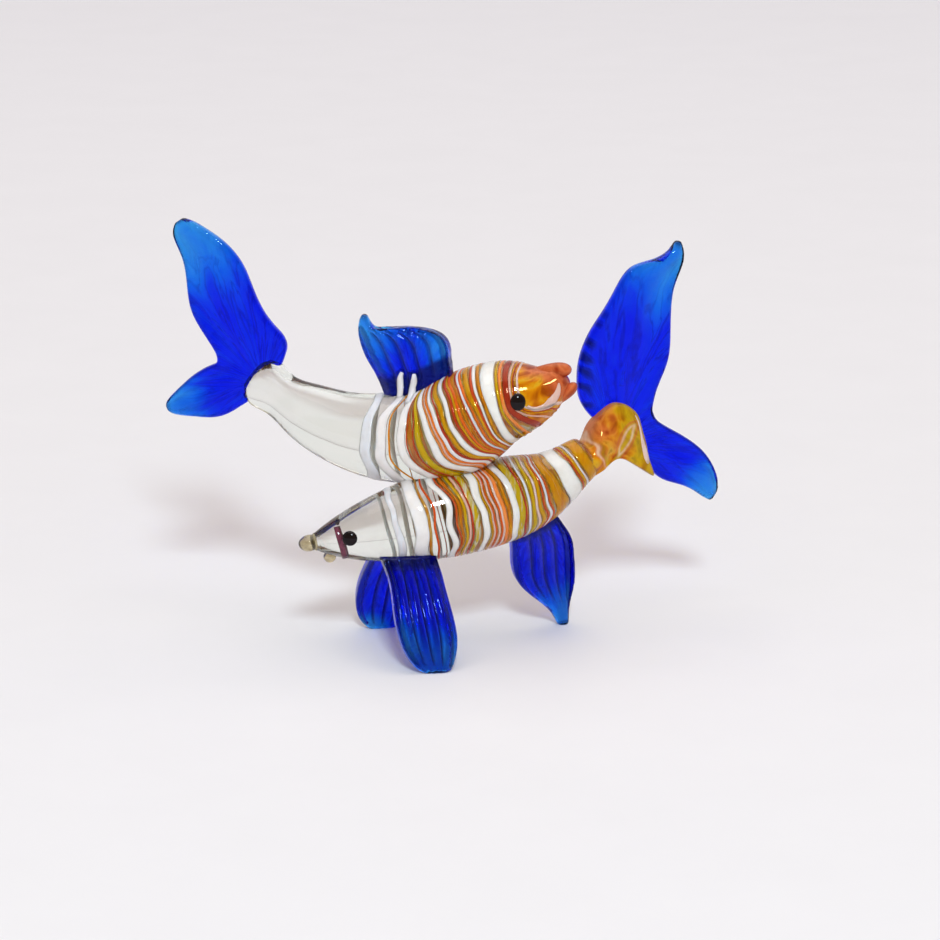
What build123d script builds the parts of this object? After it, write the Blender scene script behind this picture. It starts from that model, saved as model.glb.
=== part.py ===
from build123d import *
import math
import os

# A lampworked ornament of solid glass: two fish fused back to belly, swimming opposite ways.
# Millimetres. X runs along the pair, from the lower fish's head to its tail, and Y runs away from
# the viewer. Z is up from the surface that the three feet stand on.

# Lower fish: its spine runs from the nose to the end of the clear body
LOWER_RUN = 58.5
LOWER_SWAY = 17.0
LOWER_RISE = 14.3
LOWER_NOSE_LEVEL = 25.5
LOWER_HEIGHT = 19.8
LOWER_WIDTH = 18.2

# Upper fish: its spine runs from the tail to the mouth and sags over the lower fish
UPPER_RUN = 66.7
UPPER_SWAY = 17.0
UPPER_SAG = 12.3
UPPER_HEIGHT = 21.3
UPPER_WIDTH = 19.5
# How deep the belly is melted into the lower fish's back
WELD_DEPTH = 2.2

# Colour bands, wound side by side in turns of white, amber and red, and melted in flush
WHITE_BAND = 2.4
AMBER_BAND = 1.4
RED_BAND = 0.7
BAND_GAP = 0.9
BAND_DEPTH = 0.7

# Plum strip under the lower fish's snout, open on top
SNOUT_BAND = 1.7
SNOUT_BAND_TOP = 2.2

# Melted-on dots and drops
EYE_DIAMETER = 3.3
EYE_PROUD = 0.9
LIP_GAP = 0.4
UPPER_LIP_LENGTH = 3.6
UPPER_LIP_HEIGHT = 3.2
UPPER_LIP_WIDTH = 4.0
UPPER_CHIN_REACH = 0.8
LOWER_LIP_LENGTH = 4.8
LOWER_LIP_HEIGHT = 3.6
LOWER_LIP_WIDTH = 4.2
LOWER_CHIN_DIAMETER = 2.8
LOWER_CHIN_HANG = 0.5

# Amber tail stock, pressed flat
STOCK_LENGTH = 16.8
STOCK_RISE = 11.5
STOCK_THICKNESS = 4.8

# Blue fins
DORSAL_LENGTH = 19.2
DORSAL_HEIGHT = 17.0
DORSAL_THICKNESS = 2.9
DORSAL_RIBS = 6
UPPER_TAIL_LENGTH = 22.5
UPPER_TAIL_RISE = 36.0
LOWER_TAIL_LENGTH = 21.4
LOWER_TAIL_RISE = 44.0
TAIL_THICKNESS = 3.2
TAIL_LAP = 1.2
PECTORAL_WIDTH = 13.0
PECTORAL_THICKNESS = 3.0
NEAR_STANCE = 16.5
NEAR_RAKE = 6.4
FAR_STANCE = 14.5
FAR_RAKE = -4.4
ANAL_WIDTH = 13.7
ANAL_THICKNESS = 3.0
ANAL_STANCE = 8.0
ANAL_RAKE = 6.0
FIN_BOW = 2.0
FIN_RIBS = 5
RIB_RELIEF = 0.12
RIB_PITCH = 2.2
FOOT_FLAT = 0.6

# Shares of the run, the sway and the rise, from nose to tail
LOWER_SPINE = [
    (0, 0, 0),
    (0.25, 0.16, 0.17),
    (0.50, 0.34, 0.36),
    (0.70, 0.56, 0.48),
    (0.86, 0.78, 0.66),
    (0.93, 0.89, 0.82),
    (1, 1, 1),
]
# Shares of the run, the sway and the sag, from tail to mouth
UPPER_SPINE = [
    (0, 0, 0),
    (0.15, -0.15, -0.56),
    (0.30, -0.30, -0.90),
    (0.435, -0.435, -1),
    (0.63, -0.63, -0.81),
    (0.80, -0.80, -0.25),
    (0.91, -0.91, -0.03),
    (1, -1, 0.29),
]

# Share of the spine, then shares of the greatest height and width
LOWER_GIRTH = [
    (0, 0.21, 0.23),
    (0.05, 0.38, 0.40),
    (0.11, 0.54, 0.56),
    (0.20, 0.72, 0.74),
    (0.32, 0.89, 0.90),
    (0.46, 1.00, 1.00),
    (0.62, 0.98, 0.98),
    (0.76, 0.86, 0.88),
    (0.89, 0.63, 0.67),
    (1, 0.485, 0.50),
]
UPPER_GIRTH = [
    (0, 0.34, 0.12),
    (0.034, 0.55, 0.26),
    (0.09, 0.50, 0.40),
    (0.17, 0.60, 0.57),
    (0.28, 0.75, 0.74),
    (0.42, 0.90, 0.90),
    (0.57, 0.975, 0.98),
    (0.70, 1.00, 1.00),
    (0.80, 0.87, 0.90),
    (0.874, 0.74, 0.76),
    (0.94, 0.53, 0.55),
    (1, 0.27, 0.30),
]

# Places along the spines, as shares of their length
LOWER_CROSSING = 0.535
UPPER_CROSSING = 0.61
LOWER_WOUND = (0.245, 0.985)
UPPER_WOUND = (0.35, 0.865)
UPPER_SNOUT = 0.88
SNOUT_BAND_PLACE = 0.07
LOWER_EYE_PLACE = 0.112
UPPER_EYE_PLACE = 0.882
LOWER_CHIN_PLACE = 0.038
PECTORAL_PLACE = 0.302
ANAL_PLACE = 0.765
DORSAL_PLACE = 0.587

# Angles round the body, in degrees from its top
LOWER_EYE_ANGLE = 80
UPPER_EYE_ANGLE = 87
PECTORAL_ANGLE = 140

# Dorsal fin from its root up and back to its tip: shares of its length and height, back edge then front
# edge, and a share of the thickness
DORSAL_ROWS = [
    (-0.37, -0.18, 0.31, -0.055, 1.4),
    (-0.46, -0.02, 0.36, 0.17, 1.3),
    (-0.56, 0.21, 0.37, 0.42, 1.15),
    (-0.65, 0.385, 0.345, 0.63, 1.05),
    (-0.705, 0.54, 0.245, 0.76, 1),
    (-0.73, 0.68, -0.04, 0.82, 0.95),
    (-0.73, 0.77, -0.31, 0.785, 0.9),
    (-0.715, 0.86, -0.50, 0.757, 0.85),
    (-0.69, 0.92, -0.595, 0.86, 0.75),
    (-0.67, 0.94, -0.63, 0.93, 0.55),
]

# Tail fins from the upper tip round the notch to the lower tip. Each row joins the edge on the body's
# side to the edge on the notch's side, and ends with a share of the thickness.
UPPER_TAIL_ROWS = [
    (-0.79, 0.99, -0.86, 0.96, 0.5),
    (-0.58, 0.94, -0.86, 0.84, 0.8),
    (-0.38, 0.86, -0.79, 0.73, 0.85),
    (-0.18, 0.715, -0.755, 0.57, 0.9),
    (-0.03, 0.495, -0.70, 0.40, 0.95),
    (0.14, 0.345, -0.575, 0.27, 1),
    (0.25, 0.235, -0.475, 0.165, 1),
    (0.19, 0.11, -0.455, 0.12, 1),
    (0.06, -0.02, -0.475, 0.10, 1),
    (-0.17, -0.14, -0.59, 0.065, 1),
    (-0.45, -0.24, -0.75, -0.005, 0.95),
    (-0.71, -0.25, -0.89, -0.09, 0.9),
    (-0.89, -0.245, -0.98, -0.155, 0.8),
    (-0.97, -0.225, -1, -0.19, 0.5),
]
LOWER_TAIL_ROWS = [
    (0.47, 0.995, 0.52, 0.995, 0.5),
    (0.41, 0.955, 0.555, 0.93, 0.8),
    (0.20, 0.91, 0.53, 0.86, 0.85),
    (-0.04, 0.88, 0.47, 0.79, 0.9),
    (-0.25, 0.745, 0.425, 0.70, 0.9),
    (-0.435, 0.615, 0.415, 0.555, 0.95),
    (-0.59, 0.48, 0.395, 0.40, 1),
    (-0.64, 0.33, 0.32, 0.305, 1),
    (-0.58, 0.20, 0.25, 0.225, 1),
    (-0.38, 0.09, 0.22, 0.157, 1),
    (-0.11, 0.0, 0.22, 0.125, 1),
    (0.12, -0.12, 0.275, 0.08, 1),
    (0.30, -0.223, 0.45, 0.02, 0.95),
    (0.515, -0.273, 0.69, -0.057, 0.95),
    (0.72, -0.32, 0.89, -0.157, 0.9),
    (0.835, -0.36, 0.98, -0.25, 0.8),
    (0.92, -0.385, 1, -0.34, 0.5),
]

# Tail stock behind its round neck: shares of its length and rise, top edge then bottom edge
STOCK_ROWS = [
    (0.10, 0.565, 0.37, -0.08, 1.7),
    (0.19, 0.75, 0.51, -0.09, 1.4),
    (0.315, 0.905, 0.70, -0.25, 1.1),
    (0.475, 1.0, 0.91, -0.46, 1),
    (0.65, 0.91, 1.0, -0.54, 0.8),
    (0.79, 0.65, 0.98, -0.36, 0.4),
]
STOCK_TAIL_PLACE = (0.79, 0.20)

# Leg fins from root to foot: share of the length, shares of the width ahead and behind, thickness
PECTORAL_ROWS = [
    (-0.15, 0.50, 0.42, 1.2),
    (0.05, 0.53, 0.42, 1.2),
    (0.25, 0.52, 0.42, 1.1),
    (0.5, 0.585, 0.42, 1.05),
    (0.75, 0.575, 0.385, 1),
    (0.9, 0.455, 0.27, 0.9),
    (0.97, 0.30, 0.17, 0.8),
    (1, 0.13, 0.09, 0.6),
]
ANAL_ROWS = [
    (-0.2, 0.36, 0.36, 1.2),
    (0.0, 0.44, 0.44, 1.2),
    (0.2, 0.49, 0.52, 1.15),
    (0.5, 0.555, 0.44, 1.1),
    (0.7, 0.38, 0.31, 1.05),
    (0.85, 0.15, 0.19, 1),
    (0.95, 0.09, 0.12, 0.9),
    (1, 0.06, 0.07, 0.8),
]

# Roundness of a section: an ellipse, and glass pressed flat between paddles
ROUND = 1.0
PRESSED = 0.7

UP = Vector(0, 0, 1)
REACH = 2 * max(LOWER_HEIGHT, LOWER_WIDTH, UPPER_HEIGHT, UPPER_WIDTH)


def blend(table, place):
    """The row of a table at a place between its first column's values."""
    for low, high in zip(table, table[1:]):
        if place <= high[0]:
            part = (place - low[0]) / (high[0] - low[0])
            return [a + (b - a) * part for a, b in zip(low[1:], high[1:])]
    return list(table[-1][1:])


class Fish:
    """A spine with elliptical sections hung on it. Places are shares of the spine's length."""

    def __init__(self, points, girth, height, width):
        self.spine = Spline(*points)
        self.length = self.spine.length
        self.girth = girth
        self.height = height
        self.width = width

    def heading(self, place):
        return self.spine.tangent_at(place)

    def lateral(self, place):
        return UP.cross(self.heading(place)).normalized()

    def frame(self, place):
        """Plane across the spine: x to the far side, y up, z along the spine."""
        middle = self.spine.position_at(place)
        return Plane(origin=middle, x_dir=self.lateral(place), z_dir=self.heading(place))

    def skin(self, place, angle):
        """Point on the surface, at an angle from the top toward the far side."""
        high, wide = blend(self.girth, place)
        turn = math.radians(angle)
        across = wide * self.width / 2 * math.sin(turn)
        above = high * self.height / 2 * math.cos(turn)
        return self.frame(place).from_local_coords(Vector(across, above, 0))

    def solid(self, inset=0):
        sections = []
        for place, high, wide in self.girth:
            oval = Ellipse(wide * self.width / 2 - inset, high * self.height / 2 - inset)
            sections.append(self.frame(place) * oval)
        return loft(sections)

    def slab(self, place, thickness, lean_to):
        """A slice of space at a place on the spine, half turned to face as the spine does elsewhere."""
        heading = self.heading(place) + self.heading(lean_to)
        plane = Plane(origin=self.spine.position_at(place), x_dir=UP.cross(heading), z_dir=heading)
        return plane * Box(REACH, REACH, thickness)

    def ahead(self, place):
        """Everything beyond a place on the spine."""
        return self.frame(place) * Pos(0, 0, REACH / 2) * Box(REACH, REACH, REACH)


def spine_points(shape, run, sway, rise, start):
    return [start + Vector(x * run, y * sway, z * rise) for x, y, z in shape]


def wound_grooves(fish, core, wound):
    """Grooves for the bands of each colour, turn after turn over the wound stretch."""
    widths = {"white": WHITE_BAND, "amber": AMBER_BAND, "red": RED_BAND}
    pitch = sum(widths.values()) + BAND_GAP * len(widths)
    start, end = wound
    turns = int((end - start) * fish.length / pitch)
    grooves = {colour: [] for colour in widths}
    edge = start * fish.length
    for _ in range(turns):
        for colour, width in widths.items():
            place = (edge + width / 2) / fish.length
            grooves[colour].append(fish.slab(place, width, (start + end) / 2) - core)
            edge += width + BAND_GAP
    return grooves


def inlay(body, grooves):
    """The body with its grooves cut, and the bands that fill them."""
    bands = {}
    for colour, cuts in grooves.items():
        bands[colour] = Compound([solid for cut in cuts for solid in (body & cut).solids()])
    plain = body - [cut for cuts in grooves.values() for cut in cuts]
    return plain, bands


def eye(fish, body, place, angle):
    """A round dot of glass, proud of the skin."""
    radius = (EYE_DIAMETER**2 / 4 + EYE_PROUD**2) / (2 * EYE_PROUD)
    skin = fish.skin(place, angle)
    outward = (skin - fish.spine.position_at(place)).normalized()
    centre = skin - outward * (radius - EYE_PROUD)
    return Pos(centre) * Sphere(radius) - body


def drop(plane, across, above, along, width, height, length):
    """An egg-shaped drop of glass, placed in a plane across the spine."""
    ball = scale(Sphere(1), by=(width / 2, height / 2, length / 2))
    return plane * Pos(across, above, along) * ball


def section(first, second, thickness, normal, roundness, ribs=0):
    """Closed section from one edge point to the other, as two half curves, ribbed on both faces."""
    chord = second - first
    plane = Plane(origin=(first + second) * 0.5, x_dir=chord, z_dir=chord.cross(normal))
    turns = [math.pi * number / 4 for number in range(5)]
    relief = 0
    if ribs:
        turns = [math.acos(1 - number / ribs) for number in range(2 * ribs + 1)]
        relief = RIB_RELIEF * min(1, chord.length / ribs / RIB_PITCH)
    halves = []
    for side in (1, -1):
        points = []
        for number, turn in enumerate(turns):
            deep = max(math.sin(turn), 0) ** roundness * (1 + relief * (-1) ** number)
            points.append((side * math.cos(turn) * chord.length / 2, side * deep * thickness / 2))
        places = turns if ribs else None
        halves.append(Edge.make_spline(points, tangents=[(0, side), (0, -side)], parameters=places))
    return plane * make_face(halves)


def flat_blade(rows, length, rise, thickness, origin, along, ribs=0):
    """Sections of a blade that stands upright along a heading, through rows of edge points."""
    normal = UP.cross(along)

    def place(share_along, share_up):
        return origin + along * (share_along * length) + UP * (share_up * rise)

    sections = []
    for a, b, c, d, thick in rows:
        sections.append(section(place(a, b), place(c, d), thick * thickness, normal, PRESSED, ribs))
    return sections


def leg_fin(rows, root, foot, back, width, thickness):
    """A fin from the belly to the floor, bowed outward and flat where it stands."""
    leg = foot - root
    outward = back.cross(leg).normalized()
    if outward.Z < 0:
        outward = outward * -1
    sections = []
    for share, ahead, behind, thick in rows:
        bow = FIN_BOW * math.sin(math.pi * max(share, 0))
        middle = root + leg * share + outward * bow
        front = middle - back * (ahead * width)
        rear = middle + back * (behind * width)
        sections.append(section(front, rear, thick * thickness, outward, PRESSED, FIN_RIBS))
    below = Pos(foot.X, foot.Y, -REACH / 2) * Box(REACH, REACH, REACH)
    return loft(sections) - below


# The lower fish stands first, and the upper one is laid across its back
nose = Vector(0, 0, LOWER_NOSE_LEVEL)
points = spine_points(LOWER_SPINE, LOWER_RUN, LOWER_SWAY, LOWER_RISE, nose)
lower = Fish(points, LOWER_GIRTH, LOWER_HEIGHT, LOWER_WIDTH)
points = spine_points(UPPER_SPINE, UPPER_RUN, UPPER_SWAY, UPPER_SAG, Vector())
trial = Fish(points, UPPER_GIRTH, UPPER_HEIGHT, UPPER_WIDTH)
seat = lower.skin(LOWER_CROSSING, 0) - UP * WELD_DEPTH
tail = seat - trial.skin(UPPER_CROSSING, 180)
points = spine_points(UPPER_SPINE, UPPER_RUN, UPPER_SWAY, UPPER_SAG, tail)
upper = Fish(points, UPPER_GIRTH, UPPER_HEIGHT, UPPER_WIDTH)

lower_skin = lower.solid()
upper_skin = upper.solid() - lower_skin
nodes = {}

# Lower body with its bands and the strip under its snout
lower_core = lower.solid(BAND_DEPTH)
lower_grooves = wound_grooves(lower, lower_core, LOWER_WOUND)
lid = lower.frame(SNOUT_BAND_PLACE) * Pos(0, SNOUT_BAND_TOP + REACH / 2, 0) * Box(REACH, REACH, REACH)
lower_grooves["snout"] = [lower.slab(SNOUT_BAND_PLACE, SNOUT_BAND, SNOUT_BAND_PLACE) - lower_core - lid]
nodes["lower_body"], lower_bands = inlay(lower_skin, lower_grooves)
nodes["lower_white_bands"] = lower_bands["white"]
nodes["lower_amber_bands"] = lower_bands["amber"]
nodes["lower_red_bands"] = lower_bands["red"]
nodes["lower_snout_band"] = lower_bands["snout"]

# Upper body with its bands, and the amber snout in front of them
upper_core = upper.solid(BAND_DEPTH)
snout_space = upper.ahead(UPPER_SNOUT)
nodes["upper_snout"] = upper_skin & snout_space
upper_grooves = wound_grooves(upper, upper_core, UPPER_WOUND)
nodes["upper_body"], upper_bands = inlay(upper_skin - snout_space, upper_grooves)
nodes["upper_white_bands"] = upper_bands["white"]
nodes["upper_amber_bands"] = upper_bands["amber"]
nodes["upper_red_bands"] = upper_bands["red"]

# Eyes on both sides
for side, sign in (("near", -1), ("far", 1)):
    nodes[f"lower_{side}_eye"] = eye(lower, lower_skin, LOWER_EYE_PLACE, sign * LOWER_EYE_ANGLE)
    nodes[f"upper_{side}_eye"] = eye(upper, upper_skin, UPPER_EYE_PLACE, sign * UPPER_EYE_ANGLE)

# Lips: the upper fish's pair meets in front of its mouth, the lower fish's hang on its nose and chin
mouth = upper.frame(1)
lip_level = (UPPER_LIP_HEIGHT + LIP_GAP) / 2
lip = drop(mouth, 0, lip_level, 0, UPPER_LIP_WIDTH, UPPER_LIP_HEIGHT, UPPER_LIP_LENGTH)
nodes["upper_top_lip"] = lip - upper_skin
lip = drop(mouth, 0, -lip_level, UPPER_CHIN_REACH, UPPER_LIP_WIDTH, UPPER_LIP_HEIGHT, UPPER_LIP_LENGTH)
nodes["upper_bottom_lip"] = lip - upper_skin
lip = drop(lower.frame(0), 0, 0, -LOWER_LIP_LENGTH / 3, LOWER_LIP_WIDTH, LOWER_LIP_HEIGHT, LOWER_LIP_LENGTH)
nodes["lower_top_lip"] = lip - lower_skin
chin = lower.skin(LOWER_CHIN_PLACE, 180) - UP * LOWER_CHIN_HANG
lip = Pos(chin) * Sphere(LOWER_CHIN_DIAMETER / 2)
nodes["lower_bottom_lip"] = lip - lower_skin

# Amber tail stock, grown from the end of the lower body
end = lower.frame(1)
wide = LOWER_GIRTH[-1][2]
back = lower.lateral(1).cross(UP)
neck = section(lower.skin(1, 0), lower.skin(1, 180), wide * LOWER_WIDTH, lower.lateral(1), ROUND)
pressed = flat_blade(STOCK_ROWS, STOCK_LENGTH, STOCK_RISE, STOCK_THICKNESS, end.origin, back)
stock = loft([neck] + pressed)
nodes["lower_tail_stock"] = stock

# Fins
crest = upper.skin(DORSAL_PLACE, 0)
ahead = upper.lateral(DORSAL_PLACE).cross(UP)
rows = flat_blade(DORSAL_ROWS, DORSAL_LENGTH, DORSAL_HEIGHT, DORSAL_THICKNESS, crest, ahead, DORSAL_RIBS)
nodes["upper_dorsal_fin"] = loft(rows) - upper_skin
tail_root = upper.spine.position_at(UPPER_GIRTH[1][0])
ahead = upper.lateral(0).cross(UP)
rows = flat_blade(UPPER_TAIL_ROWS, UPPER_TAIL_LENGTH, UPPER_TAIL_RISE, TAIL_THICKNESS, tail_root, ahead)
nodes["upper_tail_fin"] = loft(rows) - upper_skin

behind = (STOCK_THICKNESS + TAIL_THICKNESS) / 2 - TAIL_LAP
tail_root = end.origin + lower.lateral(1) * behind
tail_root = tail_root + back * (STOCK_TAIL_PLACE[0] * STOCK_LENGTH) + UP * (STOCK_TAIL_PLACE[1] * STOCK_RISE)
rows = flat_blade(LOWER_TAIL_ROWS, LOWER_TAIL_LENGTH, LOWER_TAIL_RISE, TAIL_THICKNESS, tail_root, back)
nodes["lower_tail_fin"] = loft(rows) - stock - lower_skin

for side, turn, stance, rake in (
    ("near", -PECTORAL_ANGLE, -NEAR_STANCE, NEAR_RAKE),
    ("far", PECTORAL_ANGLE, FAR_STANCE, FAR_RAKE),
):
    root = lower.skin(PECTORAL_PLACE, turn)
    axis = lower.spine.position_at(PECTORAL_PLACE)
    foot = Vector(root.X + rake, axis.Y + stance, -FOOT_FLAT)
    back = lower.lateral(PECTORAL_PLACE).cross(UP)
    fin = leg_fin(PECTORAL_ROWS, root, foot, back, PECTORAL_WIDTH, PECTORAL_THICKNESS)
    nodes[f"lower_{side}_pectoral_fin"] = fin - lower_skin
root = lower.skin(ANAL_PLACE, 180)
foot = Vector(root.X + ANAL_RAKE, root.Y + ANAL_STANCE, -FOOT_FLAT)
back = lower.lateral(ANAL_PLACE).cross(UP)
nodes["lower_anal_fin"] = leg_fin(ANAL_ROWS, root, foot, back, ANAL_WIDTH, ANAL_THICKNESS) - lower_skin

# The origin is on the floor, under the middle of the whole ornament
whole = Compound(list(nodes.values())).bounding_box()
centre = whole.center()
os.makedirs("parts", exist_ok=True)
for name, shape in nodes.items():
    export_step(Pos(-centre.X, -centre.Y, 0) * shape, f"parts/{name}.step")
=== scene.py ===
import math

import bmesh
import bpy
import numpy as np
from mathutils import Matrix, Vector, noise
from mathutils.bvhtree import BVHTree


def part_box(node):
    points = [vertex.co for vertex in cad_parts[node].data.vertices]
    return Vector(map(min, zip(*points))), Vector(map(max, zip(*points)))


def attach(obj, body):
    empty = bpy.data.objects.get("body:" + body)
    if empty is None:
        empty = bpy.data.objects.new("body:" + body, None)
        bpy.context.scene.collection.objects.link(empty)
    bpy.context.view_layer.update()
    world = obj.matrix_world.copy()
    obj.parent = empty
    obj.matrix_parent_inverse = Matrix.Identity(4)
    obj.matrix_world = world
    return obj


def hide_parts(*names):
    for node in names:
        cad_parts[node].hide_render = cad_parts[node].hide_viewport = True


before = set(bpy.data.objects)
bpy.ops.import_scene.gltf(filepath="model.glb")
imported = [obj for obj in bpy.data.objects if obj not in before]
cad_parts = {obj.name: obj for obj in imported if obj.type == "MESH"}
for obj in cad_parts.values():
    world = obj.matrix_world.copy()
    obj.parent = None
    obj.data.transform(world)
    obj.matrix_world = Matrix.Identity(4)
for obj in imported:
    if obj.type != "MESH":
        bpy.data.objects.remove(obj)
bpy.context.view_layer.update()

MM = 0.001
FULL_TURN = 2 * math.pi
UP = np.array([0.0, 0.0, 1.0])
NEAR, FAR = -1, 1

# Lower fish in millimetres: spine from nose to tail, then shares of the spine with height and width
LOWER_NOSE = (-27.630, -9.667, 25.5)
LOWER_RUN, LOWER_SWAY, LOWER_RISE = 58.5, 17.0, 14.3
LOWER_HEIGHT, LOWER_WIDTH = 19.8, 18.2
LOWER_SPINE = [
    (0, 0, 0), (0.25, 0.16, 0.17), (0.50, 0.34, 0.36), (0.70, 0.56, 0.48),
    (0.86, 0.78, 0.66), (0.93, 0.89, 0.82), (1, 1, 1),
]
LOWER_GIRTH = [
    (0, 0.21, 0.23), (0.05, 0.38, 0.40), (0.11, 0.54, 0.56), (0.20, 0.72, 0.74), (0.32, 0.89, 0.90),
    (0.46, 1.00, 1.00), (0.62, 0.98, 0.98), (0.76, 0.86, 0.88), (0.89, 0.63, 0.67), (1, 0.485, 0.50),
]
LOWER_DOMES = (1.4, 1.6)

# Upper fish: spine from tail to mouth
UPPER_TAIL = (-41.736, 8.321, 58.472)
UPPER_RUN, UPPER_SWAY, UPPER_SAG = 66.7, 17.0, 12.3
UPPER_HEIGHT, UPPER_WIDTH = 21.3, 19.5
UPPER_SPINE = [
    (0, 0, 0), (0.15, -0.15, -0.56), (0.30, -0.30, -0.90), (0.435, -0.435, -1),
    (0.63, -0.63, -0.81), (0.80, -0.80, -0.25), (0.91, -0.91, -0.03), (1, -1, 0.29),
]
UPPER_GIRTH = [
    (0, 0.34, 0.12), (0.034, 0.55, 0.26), (0.09, 0.50, 0.40), (0.17, 0.60, 0.57), (0.28, 0.75, 0.74),
    (0.42, 0.90, 0.90), (0.57, 0.975, 0.98), (0.70, 1.00, 1.00), (0.80, 0.87, 0.90), (0.874, 0.74, 0.76),
    (0.94, 0.53, 0.55), (1, 0.27, 0.30),
]
UPPER_END, UPPER_DOMES = 0.9, (0.5, 0.4)
SNOUT_START, SNOUT_DOMES = 0.893, (0.4, 1.3)

# Threads wound round each fish: where they start and end along it, colour, and a tone from 0 to 1
UPPER_THREADS = [
    (0.388, 0.421, "white", 0.55), (0.440, 0.473, "white", 0.35), (0.486, 0.492, "amber", 0.45),
    (0.517, 0.546, "white", 0.25), (0.547, 0.552, "red", 0.45), (0.566, 0.570, "red", 0.35),
    (0.572, 0.590, "amber", 0.85), (0.598, 0.622, "white", 0.20), (0.623, 0.630, "red", 0.90),
    (0.630, 0.637, "white", 0.95), (0.637, 0.645, "red", 0.80), (0.646, 0.658, "white", 0.30),
    (0.659, 0.667, "red", 0.20), (0.667, 0.684, "amber", 0.55), (0.685, 0.702, "white", 0.15),
    (0.703, 0.711, "red", 0.30), (0.711, 0.718, "amber", 0.60), (0.718, 0.727, "red", 0.65),
    (0.728, 0.737, "amber", 0.35), (0.737, 0.744, "red", 0.45), (0.745, 0.752, "white", 0.60),
    (0.753, 0.760, "red", 0.70), (0.760, 0.772, "amber", 0.50), (0.773, 0.780, "red", 0.40),
    (0.781, 0.789, "white", 0.10), (0.790, 0.799, "amber", 0.40), (0.800, 0.831, "white", 0.05),
    (0.832, 0.839, "amber", 0.70), (0.839, 0.848, "red", 0.90), (0.848, 0.866, "red", 0.08),
    (0.867, 0.873, "white", 0.98), (0.874, 0.880, "amber", 0.45), (0.881, 0.886, "red", 0.20),
    (0.887, 0.896, "white", 0.88),
]
LOWER_THREADS = [
    (0.258, 0.283, "white", 0.62), (0.322, 0.363, "white", 0.30), (0.366, 0.376, "amber", 0.15),
    (0.388, 0.397, "red", 0.50), (0.428, 0.450, "white", 0.20), (0.453, 0.460, "red", 0.50),
    (0.464, 0.474, "amber", 0.30), (0.480, 0.490, "amber", 0.70), (0.491, 0.500, "white", 0.95),
    (0.500, 0.507, "red", 0.30), (0.508, 0.526, "amber", 0.95), (0.533, 0.560, "white", 0.10),
    (0.561, 0.567, "amber", 0.60), (0.567, 0.575, "white", 0.95), (0.575, 0.582, "red", 0.55),
    (0.583, 0.591, "white", 0.90), (0.592, 0.599, "red", 0.60), (0.600, 0.607, "white", 0.85),
    (0.608, 0.621, "red", 0.90), (0.622, 0.637, "amber", 0.40), (0.641, 0.667, "white", 0.15),
    (0.668, 0.697, "amber", 0.90), (0.698, 0.705, "red", 0.25), (0.710, 0.722, "white", 0.60),
    (0.723, 0.740, "amber", 0.80), (0.741, 0.750, "white", 0.85), (0.751, 0.766, "amber", 0.60),
    (0.767, 0.774, "red", 0.45), (0.775, 0.784, "white", 0.50), (0.785, 0.793, "red", 0.55),
    (0.794, 0.852, "amber", 0.45), (0.822, 0.829, "white", 0.90), (0.860, 0.922, "white", 0.05),
    (0.924, 0.931, "red", 0.40), (0.932, 0.944, "amber", 0.55), (0.945, 0.953, "white", 0.70),
    (0.954, 1.0, "amber", 0.50), (0.972, 0.977, "red", 0.92),
]
# Where coloured glass lies under the threads, and where the threads grow calmer
UPPER_SLEEVE, UPPER_CALM = (0.536, 0.90), (0.70, 0.84)
LOWER_SLEEVE, LOWER_CALM = (0.466, 1.0), (0.82, 0.92)

# Section of a thread: across its half width, and in millimetres over the skin
THREAD_ACROSS = (-1.0, -0.82, -0.4, 0.0, 0.4, 0.82, 1.0, 0.7, 0.0, -0.7)
THREAD_LIFT = (-0.10, 0.03, 0.085, 0.105, 0.085, 0.03, -0.10, -0.42, -0.5, -0.42)

# Strips along (place, turn) on a fish, with their widths: from the upper eye to the mouth, and the plum strip
CHIN_PATH = [(0.904, 1.76), (0.925, 2.08), (0.955, 2.20), (0.982, 2.06), (1.0, 1.80)]
CHIN_WIDTHS, CHIN_TONE = (0.8, 1.9, 2.4, 1.7, 0.4), 0.86
PLUM_PATH = [(0.073, -0.7), (0.077, -1.4), (0.083, -2.1), (0.086, -2.7), (0.087, -3.14)]
PLUM_WIDTHS = (1.4, 1.7, 1.7, 1.6, 1.2)

# Lines from the side, as (x, z): two thread ends that are drawn up over the dorsal fin's base, the pale border
# of the tail stock, and a fold of yellow glass inside it
DRAWN_ENDS = [
    [(-9.0, 61.4), (-9.5, 59.8), (-9.5, 58.2), (-9.7, 56.0)],
    [(-6.4, 61.2), (-6.5, 59.6), (-6.9, 57.8), (-7.7, 55.6)],
]
DRAWN_WIDTHS, DRAWN_TONE, DRAWN_LIFT, DRAWN_SWELL = (0.9, 1.5, 1.7, 1.3), 0.45, 0.1, 3.0
STOCK_BORDER = [(42.2, 48.4), (43.3, 45.6), (44.0, 42.2), (44.9, 38.6), (45.2, 37.4)]
BORDER_WIDTHS, BORDER_TONE = (0.3, 0.6, 1.0, 1.5, 1.0), 0.8
STOCK_FOLD = [
    (38.3, 39.8), (38.8, 42.0), (39.8, 44.4), (41.0, 46.0), (41.9, 46.4), (41.9, 45.4), (41.2, 43.4),
    (40.2, 41.4), (38.3, 39.8),
]

# Lips of the upper fish: node, where the drop starts on the snout as place and turn, how far its front is moved
# ahead and up from the solid's middle, and its half width and half height
UPPER_LIPS = [
    ("upper_top_lip", 0.925, 0.0, (5.5, -3.7), (2.7, 2.3)),
    ("upper_bottom_lip", 0.94, math.pi, (2.6, -2.2), (2.4, 1.8)),
]
LIP_SUNK, LIP_TAPER = -1.2, 0.75

EYE_RADIUS, EYE_PROUD = 1.65, 0.85
UPPER_EYE_TALL, LOWER_EYE_TALL = 1.14, 1.0

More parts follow.
